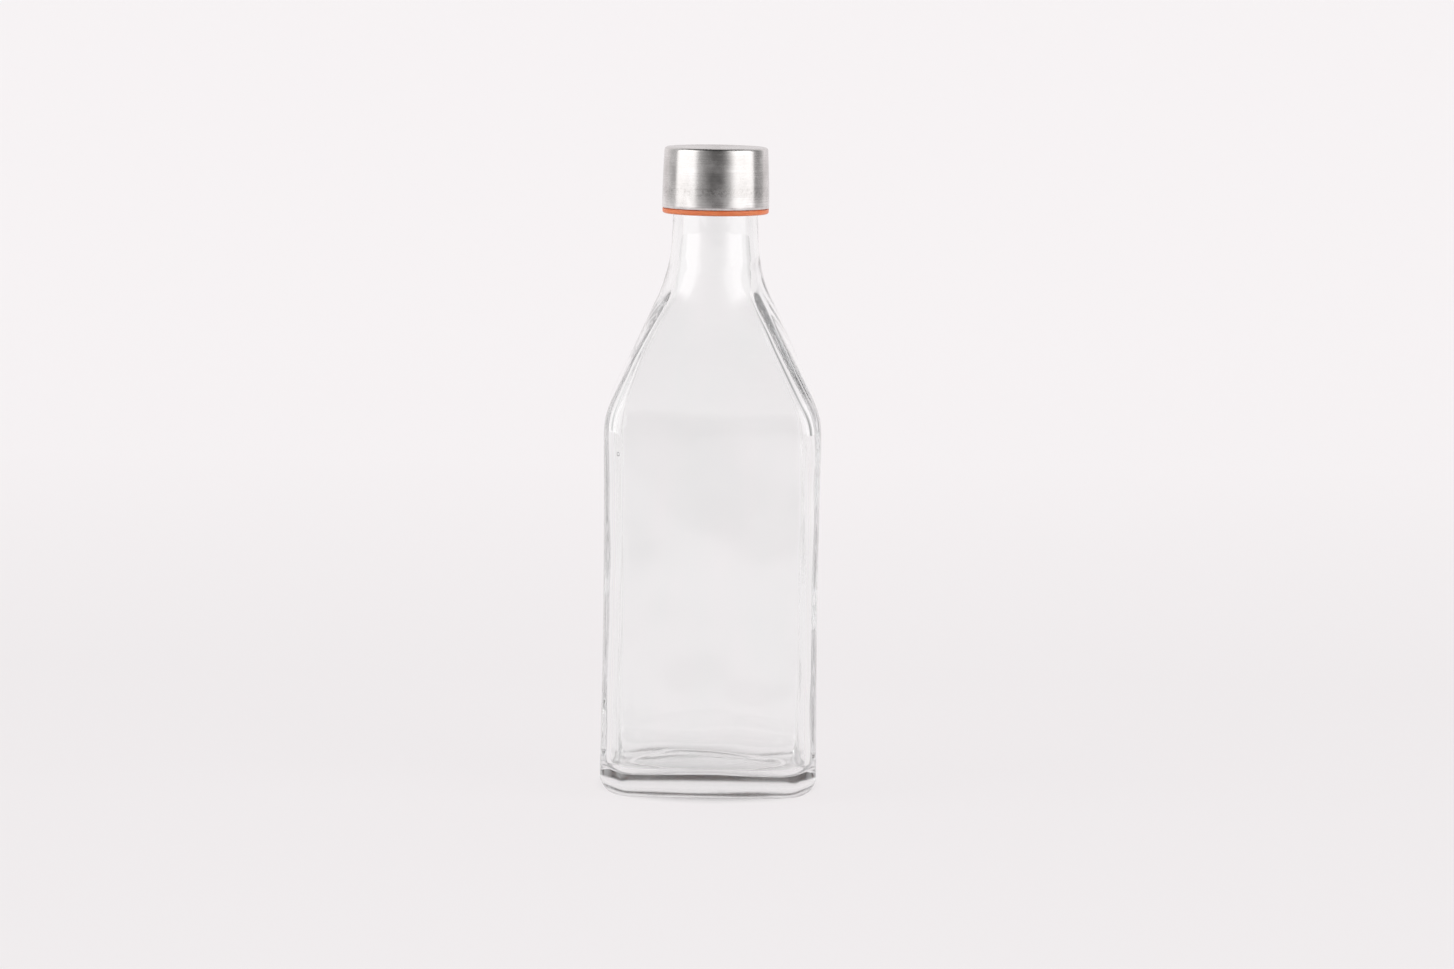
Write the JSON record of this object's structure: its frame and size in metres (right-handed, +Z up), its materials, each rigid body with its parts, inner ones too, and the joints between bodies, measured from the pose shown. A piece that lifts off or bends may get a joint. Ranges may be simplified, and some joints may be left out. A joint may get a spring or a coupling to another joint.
{
  "type": "glass bottle",
  "caption": "Clear square glass bottle with sloping shoulders and a round neck, closed by a brushed steel screw cap with a plastic thread insert and a silicone seal.",
  "frame": {"origin": "centre of the flat ring that the bottle stands on", "axes": "+Z up along the bottle's axis, -Y out of the front flat, +X out of the flat to its right"},
  "size_m": [0.0876, 0.0876, 0.2621],
  "materials": {
    "glass": "clear, gently wavy blown glass",
    "silicone": "matt, slightly translucent",
    "orange_plastic": "moulded satin",
    "steel": "fine brushed round the side"
  },
  "bodies": {
    "bottle": {"glass_bottle": "glass"},
    "seal": {"sealing_disc": "silicone"},
    "cap": {"thread_insert": "orange_plastic", "cap_shell": "steel"}
  },
  "joints": [
    {"name": "cap_lift", "type": "slide", "parent": "bottle", "child": "seal", "axis": [0, 0, 1], "range_m": [0, 0.0255]},
    {"name": "cap_turn", "type": "hinge", "parent": "seal", "child": "cap", "pos_m": [0, 0, 0.2577], "axis": [0, 0, 1], "range_deg": [0, 2160]}
  ],
  "couplings": [
    {"joint": "cap_lift", "follows": "cap_turn", "m_per_rad": 0.00067375}
  ]
}
